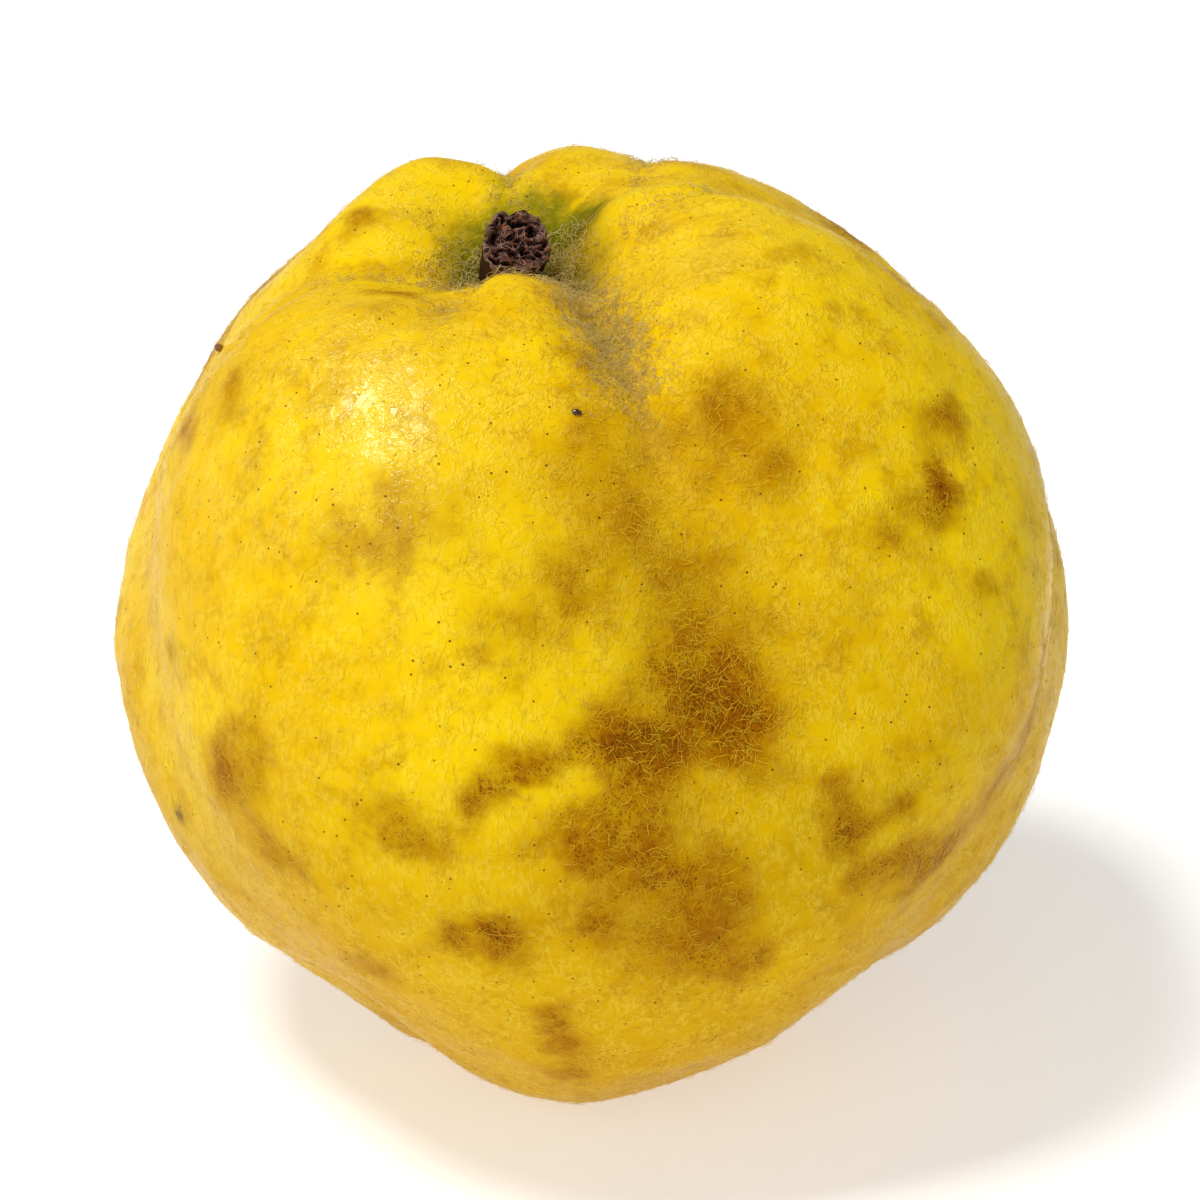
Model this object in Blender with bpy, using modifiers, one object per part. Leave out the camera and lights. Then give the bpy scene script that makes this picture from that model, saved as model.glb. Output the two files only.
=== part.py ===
"""A ripe quince, as picked: the ribbed fruit, the torn stub of its stalk and its dried calyx.

Units are metres and degrees, +Z is up and the front faces -Y. The fruit stands on the plane
z = 0, and its box is centred on the Z axis. Run with: blender --background --python part.py
"""
import math
from typing import NamedTuple

import bmesh
import bpy
import numpy as np
from mathutils import Vector

# ------------------------------------------------------------------ driving dimensions

CORE_HEIGHT = 0.0414        # core of the fruit above the surface it stands on
GAP = 0.0004                # clear space between neighbouring pieces


class Rib(NamedTuple):
    """One rib of the fruit: an ellipsoid that turns about the core from stalk to blossom."""
    name: str
    top_azimuth: float      # where the rib is at the stalk end
    low_azimuth: float      # where it has turned to at the blossom end
    reach: float            # its centre outwards from the core
    lift: float             # its centre above the core
    depth: float            # half its size outwards
    width: float            # half its size round the fruit
    height: float           # half its size upright


RIBS = (
    Rib("left", 136, 200, 0.0170, -0.0015, 0.0295, 0.0250, 0.0435),
    Rib("back_left", 74, 105, 0.0150, -0.0005, 0.0280, 0.0230, 0.0435),
    Rib("back_right", 36, -14, 0.0165, -0.0010, 0.0300, 0.0260, 0.0440),
    Rib("right", -22, -62, 0.0165, 0.0020, 0.0300, 0.0280, 0.0440),
    Rib("front", -132, -104, 0.0160, -0.0030, 0.0310, 0.0330, 0.0420),
    Rib("front_knob", -88, -90, 0.0115, -0.0030, 0.0272, 0.0190, 0.0438),
)


class Swelling(NamedTuple):
    """A soft local rise of the skin, or a dent where its height is negative."""
    azimuth: float
    elevation: float
    spread: float           # angle at which the rise has sunk to about a third
    height: float


STALK_PIT = Swelling(172, 79, 10, -0.0070)
SWELLINGS = (
    Swelling(150, 48, 12, -0.0044),     # flat shoulder of the left rib
    Swelling(134, 63, 8, 0.0016),       # its crest beside the stalk pit
    Swelling(127, 67, 5, 0.0014),       # and the end of that crest
    Swelling(116, 66, 4.5, -0.0025),    # notch between the left and back ribs
    Swelling(-157, 65, 8, -0.0024),     # low left rim of the stalk pit
    Swelling(-95, 71, 11, -0.0015),     # low front rim of the stalk pit
    Swelling(-132, 62, 4, -0.0009),     # crease in it
    Swelling(-108, 71, 6, 0.0008),      # knob of the front rim
    Swelling(-80, 79, 8.5, -0.0060),    # deep fold from the pit to the front right,
    Swelling(-130, 85, 6.5, -0.0028),   # where it leaves the pit,
    Swelling(-86, 69, 5, -0.0026),      # where it crosses the rim
    Swelling(-82, 62, 5, -0.0016),      # and where it fades
    Swelling(-64, 68, 6, -0.0010),      # soft flank of the right rib
    Swelling(-40, 76, 9, -0.0014),      # and its low crest
    Swelling(178, 24, 26, 0.0020),      # full left cheek
    Swelling(10, 30, 25, 0.0013),       # full right cheek
    Swelling(-122, -42, 17, -0.0020),   # hollow low on the front left
    Swelling(-60, -62, 14, -0.0010),    # hollow low on the front right
    Swelling(212, -48, 14, -0.0018),    # slimmer lower left
    Swelling(-30, -48, 14, -0.0022),    # slimmer lower right
    Swelling(45, -72, 12, 0.0034),      # the feet: two at the back,
    Swelling(135, -72, 12, 0.0034),
    Swelling(-24, -72, 10, 0.0020),     # and one on each side
    Swelling(206, -72, 10, 0.0020),
    Swelling(-90, -87, 10, -0.0042),    # blossom basin
)

TOP_LEAN = (-0.2125, 0.025)     # lean of the ribs' meeting point at the stalk end
LOW_LEAN = (0.0, -0.125)        # and at the blossom end
TOP_LEAN_POWER = 2.5            # how closely each lean keeps to its end
LOW_LEAN_POWER = 2.0
TOP_TAPER = 0.03                # narrowing towards the stalk
LOW_TAPER = 0.28                # and towards the blossom
LOW_TAPER_POWER = 1.5           # how closely that keeps to the blossom end
LOW_SHORTENING = 0.12           # flattening of the blossom end
SOFT_CREASE = 18.0              # sharpness of the creases round the middle
SHARP_CREASE = 44.0             # and at the two ends
CREASE_START = 0.5              # height on a unit sphere where they start to sharpen
TURN_START, TURN_END = 0.6, -0.5    # heights on a unit sphere between which the ribs turn

SEGMENTS = 76                   # mesh divisions round the fruit
RINGS = 54                      # and from end to end
RING_CROWDING = 0.2             # crowding of the rings towards the two ends

BASIN_RADIUS = 0.0345           # from the core to the floor of the blossom basin
CUTTER_SIZE = 0.12              # block that planes the feet flat
STUB_POINTS = (                 # middle line of the stub from the core: x, y, z, radius
    (-0.0089, 0.0013, 0.0327, 0.0010),
    (-0.0088, 0.0012, 0.0340, 0.0019),
    (-0.0086, 0.0009, 0.0355, 0.0024),
    (-0.0081, 0.0001, 0.0371, 0.0026),
    (-0.0075, -0.0012, 0.0386, 0.0030),
    (-0.0071, -0.0026, 0.0397, 0.0031),
)
WELD_DISTANCE = 0.00002         # vertices closer than this are one
STUB_ROUGHNESS = 0.0007         # how far its bark swells and sinks
STUB_GRAIN = 0.0020             # size of the swells

SEPAL_LENGTHS = (0.0052, 0.0055, 0.0050, 0.0034, 0.0041)    # one for each sepal
SEPAL_WIDTH = 0.0040            # at the belly of its outline
SEPAL_NECK = 0.62               # width at its root, as a share of that
SEPAL_TIP = 0.30                # and at its tip
SEPAL_TIP_POWER = 1.6           # how late it narrows to that
SEPAL_THICKNESS = 0.0006
SEPAL_START = 0.0025            # root of a sepal from the middle of the basin
SEPAL_CURL = 0.0006             # how far its middle stands off the wall
SEPAL_CUPPING = 0.0005          # how far its edges curl up towards the tip
SEPAL_GRID = (6, 4)             # mesh divisions along and across it
SEPAL_TURN = 20.0               # azimuth of the first sepal
SEPAL_LEAN = 6.0                # every other sepal lies this much to one side

TUFT_SIDES = 18
TUFT_BASE_RADIUS = 0.0013
TUFT_TIP_RADIUS = 0.0019
TUFT_LENGTH = 0.0031
TUFT_RAGGEDNESS = 0.0007        # difference between long and short filaments

PALETTE = {                     # base colour, roughness
    "fruit": ((0.78, 0.46, 0.012), 0.42),
    "stem_stub": ((0.075, 0.030, 0.018), 0.85),
    "sepal": ((0.155, 0.085, 0.038), 0.80),
    "stamen_tuft": ((0.060, 0.032, 0.016), 0.90),
}


# ------------------------------------------------------------------ shape of the skin

def unit(azimuth, elevation):
    """Unit vector towards an azimuth and an elevation."""
    around, up = math.radians(azimuth), math.radians(elevation)
    return np.array((math.cos(around) * math.cos(up), math.sin(around) * math.cos(up), math.sin(up)))


def on_sphere(polar, azimuth):
    """Unit vectors at angles from the +Z pole and round it, both in radians."""
    sideways = np.sin(polar)
    return np.stack((sideways * np.cos(azimuth), sideways * np.sin(azimuth), np.cos(polar)), axis=1)


def ease(values, start, end):
    """Smooth step from 0 at start to 1 at end."""
    share = np.clip((values - start) / (end - start), 0, 1)
    return share * share * (3 - 2 * share)


def rise(directions, swelling):
    """Height that one swelling adds along each direction."""
    along = np.clip(directions @ unit(swelling.azimuth, swelling.elevation), -1, 1)
    return swelling.height * np.exp(-(np.degrees(np.arccos(along)) / swelling.spread) ** 2)


def reach_of_rib(rib, rays, turn):
    """Distance along each ray to the far wall of a rib's ellipsoid."""
    azimuth = np.radians(rib.top_azimuth + (rib.low_azimuth - rib.top_azimuth) * turn)
    outwards = (rays[:, 0] * np.cos(azimuth) + rays[:, 1] * np.sin(azimuth)) / rib.depth
    sideways = (rays[:, 1] * np.cos(azimuth) - rays[:, 0] * np.sin(azimuth)) / rib.width
    upwards = rays[:, 2] / rib.height
    centre_out, centre_up = rib.reach / rib.depth, rib.lift / rib.height
    a = outwards ** 2 + sideways ** 2 + upwards ** 2
    b = outwards * centre_out + upwards * centre_up
    c = centre_out ** 2 + centre_up ** 2 - 1
    return (b + np.sqrt(b * b - a * c)) / a


def skin_radius(directions):
    """Distance from the core to the skin along each unit direction."""
    z = directions[:, 2]
    up, low = np.clip(z, 0, 1), np.clip(-z, 0, 1)
    taper = 1 + LOW_TAPER * low ** LOW_TAPER_POWER + TOP_TAPER * up ** 2
    rays = np.empty_like(directions)
    for axis in (0, 1):
        lean = TOP_LEAN[axis] * up ** TOP_LEAN_POWER + LOW_LEAN[axis] * low ** LOW_LEAN_POWER
        rays[:, axis] = directions[:, axis] * taper - lean
    rays[:, 2] = z * (1 + LOW_SHORTENING * low ** 2)
    turn = ease(z, TURN_START, TURN_END)
    reaches = np.stack([reach_of_rib(rib, rays, turn) for rib in RIBS], axis=1)
    longest = reaches.max(axis=1)
    crease = SOFT_CREASE + (SHARP_CREASE - SOFT_CREASE) * ease(np.abs(z), CREASE_START, 1.0)
    blend = ((reaches / longest[:, None]) ** crease[:, None]).sum(axis=1) ** (1 / crease)
    return longest * blend + sum(rise(directions, swelling) for swelling in (*SWELLINGS, STALK_PIT))


def leaned(directions):
    """Directions whose two poles are moved to the stalk pit and the blossom basin."""
    z = directions[:, 2]
    pit = unit(STALK_PIT.azimuth, STALK_PIT.elevation)
    moved = directions.copy()
    for axis in (0, 1):
        top = pit[axis] / pit[2] * np.clip(z, 0, 1) ** 2
        low = LOW_LEAN[axis] / (1 + LOW_TAPER) * np.clip(-z, 0, 1) ** 2
        moved[:, axis] += top + low
    return moved / np.linalg.norm(moved, axis=1, keepdims=True)


def blossom_directions(distance, azimuth):
    """Directions at a distance along the skin from the middle of the blossom basin."""
    polar = distance / BASIN_RADIUS
    return leaned(on_sphere(math.pi - polar, azimuth))


# ------------------------------------------------------------------ scene helpers

def clear_scene():
    """Remove every object, so that the script always starts from nothing."""
    for thing in list(bpy.data.objects):
        bpy.data.objects.remove(thing, do_unlink=True)


def new_collection(name):
    """A new collection linked to the scene."""
    collection = bpy.data.collections.new(name)
    bpy.context.scene.collection.children.link(collection)
    return collection


def put_in(collection, thing):
    """Move an object to one collection only."""
    for old in list(thing.users_collection):
        old.objects.unlink(thing)
    collection.objects.link(thing)


def give_material(thing, look):
    """Give an object a material of its own, with the colour and roughness of its kind."""
    colour, roughness = PALETTE[look]
    material = bpy.data.materials.new(thing.name)
    material.use_nodes = True
    shader = material.node_tree.nodes["Principled BSDF"]
    shader.inputs["Base Color"].default_value = (*colour, 1.0)
    shader.inputs["Roughness"].default_value = roughness
    shader.inputs["Metallic"].default_value = 0.0
    thing.data.materials.append(material)


def read_points(mesh):
    """The places of a mesh's vertices as an array of rows."""
    points = np.empty(len(mesh.vertices) * 3)
    mesh.vertices.foreach_get("co", points)
    return points.reshape(-1, 3)


def write_points(mesh, points):
    """Move a mesh's vertices to the rows of an array."""
    mesh.vertices.foreach_set("co", np.ravel(points))
    mesh.update()


# ------------------------------------------------------------------ the pieces

def make_fruit(parts, cutters):
    """The fruit, one solid that grew as one piece, and the place of its core."""
    bpy.ops.mesh.primitive_uv_sphere_add(segments=SEGMENTS, ring_count=RINGS, radius=1)
    fruit = bpy.context.object
    fruit.name = "fruit"
    put_in(parts, fruit)
    sphere = read_points(fruit.data)
    polar = np.arccos(np.clip(sphere[:, 2], -1, 1))
    crowded = polar - RING_CROWDING * np.sin(2 * polar)
    around = np.arctan2(sphere[:, 1], sphere[:, 0])
    directions = leaned(on_sphere(crowded, around))
    skin = directions * skin_radius(directions)[:, None]
    middle = (skin.min(axis=0) + skin.max(axis=0)) / 2
    core = Vector((-middle[0], -middle[1], CORE_HEIGHT))
    write_points(fruit.data, skin + np.array(core))
    fruit.data.shade_smooth()

    bpy.ops.mesh.primitive_cube_add(size=CUTTER_SIZE, location=(0, 0, -CUTTER_SIZE / 2))
    cutter = bpy.context.object
    cutter.name = "standing_plane_cutter"
    cutter.display_type = "WIRE"
    cutter.hide_render = True
    put_in(cutters, cutter)
    flatten = fruit.modifiers.new("flatten_feet", "BOOLEAN")
    flatten.operation = "DIFFERENCE"
    flatten.solver = "EXACT"
    flatten.object = cutter
    give_material(fruit, "fruit")
    return core


def mesh_from_curve(guide, name):
    """A closed mesh of a curve with filled caps; the curve itself is removed."""
    evaluated = guide.evaluated_get(bpy.context.evaluated_depsgraph_get())
    mesh = bpy.data.meshes.new_from_object(evaluated)
    mesh.name = name
    shape = bmesh.new()
    shape.from_mesh(mesh)
    bmesh.ops.remove_doubles(shape, verts=shape.verts, dist=WELD_DISTANCE)
    shape.to_mesh(mesh)
    shape.free()
    solid = bpy.data.objects.new(name, mesh)
    solid.matrix_world = guide.matrix_world
    bpy.data.objects.remove(guide, do_unlink=True)
    return solid


def make_stem_stub(parts, core):
    """The woody stub left in the pit when the fruit was torn from its spur."""
    line = bpy.data.curves.new("stub_line", "CURVE")
    line.dimensions = "3D"
    line.bevel_depth = 1.0
    line.bevel_resolution = 4
    line.use_fill_caps = True
    spline = line.splines.new("POLY")
    spline.points.add(len(STUB_POINTS) - 1)
    for point, (x, y, z, radius) in zip(spline.points, STUB_POINTS):
        point.co = (*(Vector((x, y, z)) + core), 1)
        point.radius = radius
    guide = bpy.data.objects.new("stub_line", line)
    parts.objects.link(guide)
    stub = mesh_from_curve(guide, "stem_stub")
    parts.objects.link(stub)

    grain = bpy.data.textures.new("bark_swells", "CLOUDS")
    grain.noise_scale = STUB_GRAIN
    bark = stub.modifiers.new("bark", "DISPLACE")
    bark.texture = grain
    bark.texture_coords = "LOCAL"
    bark.strength = STUB_ROUGHNESS
    bark.mid_level = 0.5
    give_material(stub, "stem_stub")


def make_sepal(parts, core, number, length):
    """One dried sepal, lying against the wall of the blossom basin."""
    bpy.ops.mesh.primitive_grid_add(x_subdivisions=SEPAL_GRID[0], y_subdivisions=SEPAL_GRID[1], size=1)
    sepal = bpy.context.object
    sepal.name = f"sepal_{number}"
    put_in(parts, sepal)
    sheet = read_points(sepal.data)
    along, across = sheet[:, 0] + 0.5, sheet[:, 1]
    point = 1 - (1 - SEPAL_TIP) * along ** SEPAL_TIP_POWER
    belly = SEPAL_NECK + (1 - SEPAL_NECK) * np.sin(math.pi * along) ** 2
    distance = SEPAL_START + length * along
    side = SEPAL_LEAN if number % 2 else -SEPAL_LEAN
    turn = math.radians(SEPAL_TURN + 360 * (number - 1) / len(SEPAL_LENGTHS))
    azimuth = turn + math.radians(side) * along + across * SEPAL_WIDTH * point * belly / distance
    directions = blossom_directions(distance, azimuth)
    stand_off = GAP + SEPAL_CURL * np.sin(math.pi * along) + SEPAL_CUPPING * (2 * across) ** 2 * along
    reach = skin_radius(directions) + stand_off
    write_points(sepal.data, directions * reach[:, None] + np.array(core))

    body = sepal.modifiers.new("thickness", "SOLIDIFY")
    body.thickness = SEPAL_THICKNESS
    body.offset = -1.0
    give_material(sepal, "sepal")


def make_stamen_tuft(parts, core):
    """The dried stamens and styles, matted into one tuft in the middle of the basin."""
    bpy.ops.mesh.primitive_cone_add(
        vertices=TUFT_SIDES, radius1=TUFT_BASE_RADIUS, radius2=TUFT_TIP_RADIUS,
        depth=TUFT_LENGTH, end_fill_type="TRIFAN")
    tuft = bpy.context.object
    tuft.name = "stamen_tuft"
    put_in(parts, tuft)
    floor = blossom_directions(np.zeros(1), np.zeros(1))
    rim = blossom_directions(np.full(TUFT_SIDES, TUFT_BASE_RADIUS), np.linspace(0, 2 * math.pi, TUFT_SIDES))
    lowest_skin = max(skin_radius(floor).max(), skin_radius(rim).max())
    place = Vector(floor[0]) * (lowest_skin + GAP + TUFT_LENGTH / 2) + core
    turn = Vector((0, 0, 1)).rotation_difference(Vector(floor[0]))
    for number, vertex in enumerate(tuft.data.vertices):
        if vertex.co.z > 0:
            vertex.co.z -= TUFT_RAGGEDNESS * (number // 2 % 3) / 2
        vertex.co = turn @ vertex.co + place
    tuft.data.update()
    give_material(tuft, "stamen_tuft")


def main():
    clear_scene()
    parts = new_collection("quince")
    cutters = new_collection("quince_cutters")
    core = make_fruit(parts, cutters)
    make_stem_stub(parts, core)
    for number, length in enumerate(SEPAL_LENGTHS, start=1):
        make_sepal(parts, core, number, length)
    make_stamen_tuft(parts, core)


main()
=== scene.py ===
# %% [markdown]
# # A ripe quince
#
# This lesson finishes a quince, a lumpy golden fruit about nine centimetres across. Its plain
# solids arrive as a fixed frame: the fruit, the torn stub of its stalk, five dried sepals and a
# tuft of dried stamens. The frame gives true sizes and places, and each cell below adds one
# piece or one finish on top of it. Lengths are in metres, so a millimetre has a name of its own.
#
# Noise vectors start from the clock unless they get a seed, and then every run makes other
# patches. So the seed is set once, before anything is made.

# %% Load the frame
import math
from typing import NamedTuple

import bpy
import numpy as np
from mathutils import Matrix, Vector, noise
from mathutils.bvhtree import BVHTree


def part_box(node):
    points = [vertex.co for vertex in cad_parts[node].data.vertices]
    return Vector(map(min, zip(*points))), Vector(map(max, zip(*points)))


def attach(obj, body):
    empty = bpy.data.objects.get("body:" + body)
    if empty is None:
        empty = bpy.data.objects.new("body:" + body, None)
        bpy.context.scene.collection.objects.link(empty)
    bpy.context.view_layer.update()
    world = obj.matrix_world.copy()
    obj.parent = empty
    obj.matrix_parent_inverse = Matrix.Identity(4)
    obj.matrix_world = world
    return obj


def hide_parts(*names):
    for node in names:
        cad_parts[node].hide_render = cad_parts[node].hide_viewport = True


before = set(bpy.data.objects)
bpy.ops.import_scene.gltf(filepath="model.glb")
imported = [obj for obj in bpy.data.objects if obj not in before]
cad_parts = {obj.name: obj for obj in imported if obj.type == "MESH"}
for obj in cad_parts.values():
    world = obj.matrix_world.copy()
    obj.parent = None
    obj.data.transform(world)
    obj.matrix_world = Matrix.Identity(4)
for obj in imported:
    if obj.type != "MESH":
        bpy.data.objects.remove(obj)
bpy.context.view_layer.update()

MM = 0.001
NOISE_SEED = 1

noise.seed_set(NOISE_SEED)
fruit_low, fruit_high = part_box("fruit")
CORE = Vector((0.26 * MM, 1.46 * MM, fruit_low.z + 41.4 * MM))
print("fruit box in mm:", [round(side / MM, 1) for side in fruit_high - fruit_low])

# %% [markdown]
# ## The view
#
# The fruit is seen from a little above, as it would be on a table, with a long lens from about
# a third of a metre away. The camera is aimed by a rotation that points its -Z axis along the
# line of sight, which avoids a tracking constraint.

# %% Camera
VIEW_ELEVATION = math.radians(24)
VIEW_DISTANCE = 325 * MM
VIEW_AIM = CORE + Vector((0.6, 0.9, 2.05)) * MM

towards_camera = Vector((0, -math.cos(VIEW_ELEVATION), math.sin(VIEW_ELEVATION)))
lens = bpy.data.cameras.new("table_view")
lens.lens = 100
lens.sensor_width = 36
lens.clip_start = 0.02
camera = bpy.data.objects.new("table_view", lens)
bpy.context.scene.collection.objects.link(camera)
camera.location = VIEW_AIM + towards_camera * VIEW_DISTANCE
camera.rotation_euler = (-towards_camera).to_track_quat("-Z", "Y").to_euler()
bpy.context.scene.camera = camera
bpy.context.scene.view_settings.view_transform = "Standard"
print("camera at", [round(value, 3) for value in camera.location])

# %% [markdown]
# ## Shader sums
#
# A procedural skin needs many small sums of noises and masks. Written as nodes one by one they
# are hard to read, so one class wraps an output socket and gives it Python's operators. A sum
# of such values adds Math nodes to the material. Colours go through Mix nodes instead, since a
# Math node would turn them grey.

# %% Recipe and Flow
class Flow:
    """One output socket of a material's nodes, which can be used in sums."""

    def __init__(self, recipe, socket):
        self.recipe = recipe
        self.socket = socket

    def maths(self, operation, first, second=0.0):
        return self.recipe.node("ShaderNodeMath", {"operation": operation}, {0: first, 1: second})

    def __add__(self, other):
        return self.maths("ADD", self, other)

    def __radd__(self, other):
        return self.maths("ADD", other, self)

    def __sub__(self, other):
        return self.maths("SUBTRACT", self, other)

    def __rsub__(self, other):
        return self.maths("SUBTRACT", other, self)

    def __mul__(self, other):
        return self.maths("MULTIPLY", self, other)

    def __rmul__(self, other):
        return self.maths("MULTIPLY", other, self)


class Recipe:
    """A material built from nodes, ending in one Principled shader."""

    def __init__(self, name):
        self.material = bpy.data.materials.new(name)
        self.material.use_nodes = True
        self.tree = self.material.node_tree
        self.shader = self.tree.nodes["Principled BSDF"]
        self.place = self.node("ShaderNodeTexCoord", out="Object")

    def node(self, kind, settings=None, sockets=None, out=0):
        """Add a node: its settings are set first, then its sockets are given values or links."""
        made = self.tree.nodes.new(kind)
        for name, value in (settings or {}).items():
            setattr(made, name, value)
        for name, value in (sockets or {}).items():
            self.feed(made.inputs[name], value)
        return Flow(self, made.outputs[out])

    def feed(self, socket, value):
        """Link a flow to a socket, or set the socket to a number, a colour or a vector."""
        if isinstance(value, Flow):
            self.tree.links.new(value.socket, socket)
        elif socket.type == "RGBA" and len(value) == 3:
            socket.default_value = (*value, 1.0)
        else:
            socket.default_value = value

    def mark(self, name):
        """A number painted on the piece's vertices."""
        return self.node("ShaderNodeAttribute", {"attribute_name": name}, out="Fac")

    def noise(self, size, detail=3.0, roughness=0.55, distortion=0.0, place=None):
        """Soft noise from 0 to 1, whose lumps are about as wide as size."""
        sockets = {
            "Vector": place or self.place, "Scale": 1 / size, "Detail": detail,
            "Roughness": roughness, "Distortion": distortion,
        }
        return self.node("ShaderNodeTexNoise", None, sockets)

    def cells(self, size, out="Distance"):
        """Voronoi cells about as wide as size."""
        return self.node("ShaderNodeTexVoronoi", None, {"Vector": self.place, "Scale": 1 / size}, out)

    def step(self, value, start, end):
        """0 below start, 1 above end and a smooth rise between; start may be the larger one."""
        low, high, first, last = (start, end, 0.0, 1.0) if start < end else (end, start, 1.0, 0.0)
        sockets = {"Value": value, "From Min": low, "From Max": high, "To Min": first, "To Max": last}
        return self.node("ShaderNodeMapRange", {"interpolation_type": "SMOOTHSTEP"}, sockets)

    def blend(self, share, first, second):
        """Mix two colours; the node's colour sockets are number 6, number 7 and output 2."""
        return self.node("ShaderNodeMix", {"data_type": "RGBA"}, {0: share, 6: first, 7: second}, out=2)

    def bump(self, height, distance, strength=1.0, normal=None):
        """A bumped normal; height runs from 0 to 1 and distance is its real depth."""
        sockets = {"Height": height, "Distance": distance, "Strength": strength}
        if normal is not None:
            sockets["Normal"] = normal
        return self.node("ShaderNodeBump", None, sockets)

    def finish(self, **sockets):
        """Set the shader's sockets; underscores stand for spaces in their names."""
        for name, value in sockets.items():
            self.feed(self.shader.inputs[name.replace("_", " ")], value)
        return self.material


print("a recipe adds nodes and joins them to its shader")

# %% [markdown]
# ## Helpers for meshes
#
# Every operator works on what is selected, and the frame's own solids arrive selected. So each
# piece starts by deselecting everything. Vertex places are read and written as whole arrays,
# which is quick and lets a shape rule be written as one line of arithmetic.

# %% Mesh helpers
def work_on(piece):
    """Select one object only and make it active."""
    if bpy.context.object and bpy.context.object.mode != "OBJECT":
        bpy.ops.object.mode_set(mode="OBJECT")
    bpy.ops.object.select_all(action="DESELECT")
    piece.select_set(True)
    bpy.context.view_layer.objects.active = piece
    return piece


def copy_of_node(node, name):
    """A new object with a merged copy of a solid's mesh, ready to be shaped."""
    piece = bpy.data.objects.new(name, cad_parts[node].data.copy())
    bpy.context.scene.collection.objects.link(piece)
    piece.data.name = name
    piece.data.materials.clear()
    work_on(piece)
    bpy.ops.mesh.customdata_custom_splitnormals_clear()
    bpy.ops.object.mode_set(mode="EDIT")
    bpy.ops.mesh.select_all(action="SELECT")
    bpy.ops.mesh.remove_doubles(threshold=0.000002)
    bpy.ops.mesh.tris_convert_to_quads()
    bpy.ops.object.mode_set(mode="OBJECT")
    return piece


def apply_modifier(piece, kind, **settings):
    """Add a modifier with its settings and apply it."""
    work_on(piece)
    modifier = piece.modifiers.new(kind.lower(), kind)
    for name, value in settings.items():
        setattr(modifier, name, value)
    bpy.ops.object.modifier_apply(modifier=modifier.name)


def subdivide_smoothly(piece, levels):
    """Subdivision Surface, applied."""
    apply_modifier(piece, "SUBSURF", levels=levels, render_levels=levels)


def roughen(piece, size, height, seed_name):
    """Push the surface in and out by soft noise of a given size and total height."""
    grain = bpy.data.textures.new(seed_name, "CLOUDS")
    grain.noise_scale = size
    grain.noise_depth = 1
    apply_modifier(piece, "DISPLACE", texture=grain, texture_coords="LOCAL", strength=height, mid_level=0.5)


def read_points(piece):
    """The vertices' places as rows of an array."""
    places = np.empty(len(piece.data.vertices) * 3)
    piece.data.vertices.foreach_get("co", places)
    return places.reshape(-1, 3)


def write_points(piece, places):
    """Move the vertices to the rows of an array."""
    piece.data.vertices.foreach_set("co", np.ravel(places))
    piece.data.update()


def paint(piece, name, values):
    """Keep one number for each vertex under a name that a material can read."""
    mark = piece.data.attributes.new(name, "FLOAT", "POINT")
    mark.data.foreach_set("value", np.asarray(values, np.float32))


def triangles_of(piece):
    piece.data.calc_loop_triangles()
    return len(piece.data.loop_triangles)


def rays_of(piece):
    """Each vertex's place, its ray from the core, the ray's length and its direction."""
    places = read_points(piece)
    rays = places - np.array(CORE)
    radii = np.linalg.norm(rays, axis=1)
    return places, rays, radii, rays / radii[:, None]


def direction(azimuth, elevation):
    """Unit vector from the core towards an azimuth and elevation in degrees; the front is -90."""
    around, up = math.radians(azimuth), math.radians(elevation)
    return np.array((math.cos(around) * math.cos(up), math.sin(around) * math.cos(up), math.sin(up)))


def ease(values, start, end):
    """Smooth step from 0 at start to 1 at end."""
    share = np.clip((values - start) / (end - start), 0, 1)
    return share * share * (3 - 2 * share)


print("the front is direction", direction(-90, 0).round(3) + 0.0)

# %% [markdown]
# ## The skin's shape
#
# The solid of the fruit already has its ribs, its stalk pit and its flat feet, but only a few
# thousand facets. A merged copy is turned back into quads and subdivided twice, which gives
# smooth ribs at about a millimetre a face. Two soft noises then give the uneven, hammered
# surface of a real quince. The feet are put back on the table afterwards.

# %% Subdivided skin
SKIN_LEVELS = 2
LUMP_SIZE, LUMP_HEIGHT = 9 * MM, 0.75 * MM
DIMPLE_SIZE, DIMPLE_HEIGHT = 3.4 * MM, 0.22 * MM

skin = copy_of_node("fruit", "quince_skin")
subdivide_smoothly(skin, SKIN_LEVELS)
roughen(skin, LUMP_SIZE, LUMP_HEIGHT, "skin_lumps")
roughen(skin, DIMPLE_SIZE, DIMPLE_HEIGHT, "skin_dimples")
print("skin:", triangles_of(skin), "triangles")

# %% [markdown]
# ## Creases
#
# Where two ribs meet near the stalk, the skin folds into narrow creases. Each crease is a
# route of a few directions from the core. The skin sinks by how near it is to the route, so
# the fold is real geometry and catches light from every side.

# %% Crease routes
class Crease(NamedTuple):
    """A fold along directions from the core, given as azimuth and elevation."""
    route: tuple
    width: float
    depth: float


CREASES = (
    Crease(((-105, 79), (-92, 72), (-86, 65), (-82, 56), (-78, 44)), 1.8 * MM, 0.9 * MM),
    Crease(((-150, 76), (-133, 67), (-131, 60), (-136, 53)), 1.2 * MM, 0.7 * MM),
    Crease(((150, 78), (-178, 66), (-168, 56), (-166, 44)), 1.9 * MM, 0.8 * MM),
    Crease(((135, 76), (119, 67), (114, 58), (112, 44)), 1.8 * MM, 0.9 * MM),
    Crease(((60, 78), (72, 68), (76, 58), (77, 46)), 1.6 * MM, 0.6 * MM),
    Crease(((-30, 84), (5, 76), (8, 66), (8, 54), (4, 42)), 2.0 * MM, 0.8 * MM),
)


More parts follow.
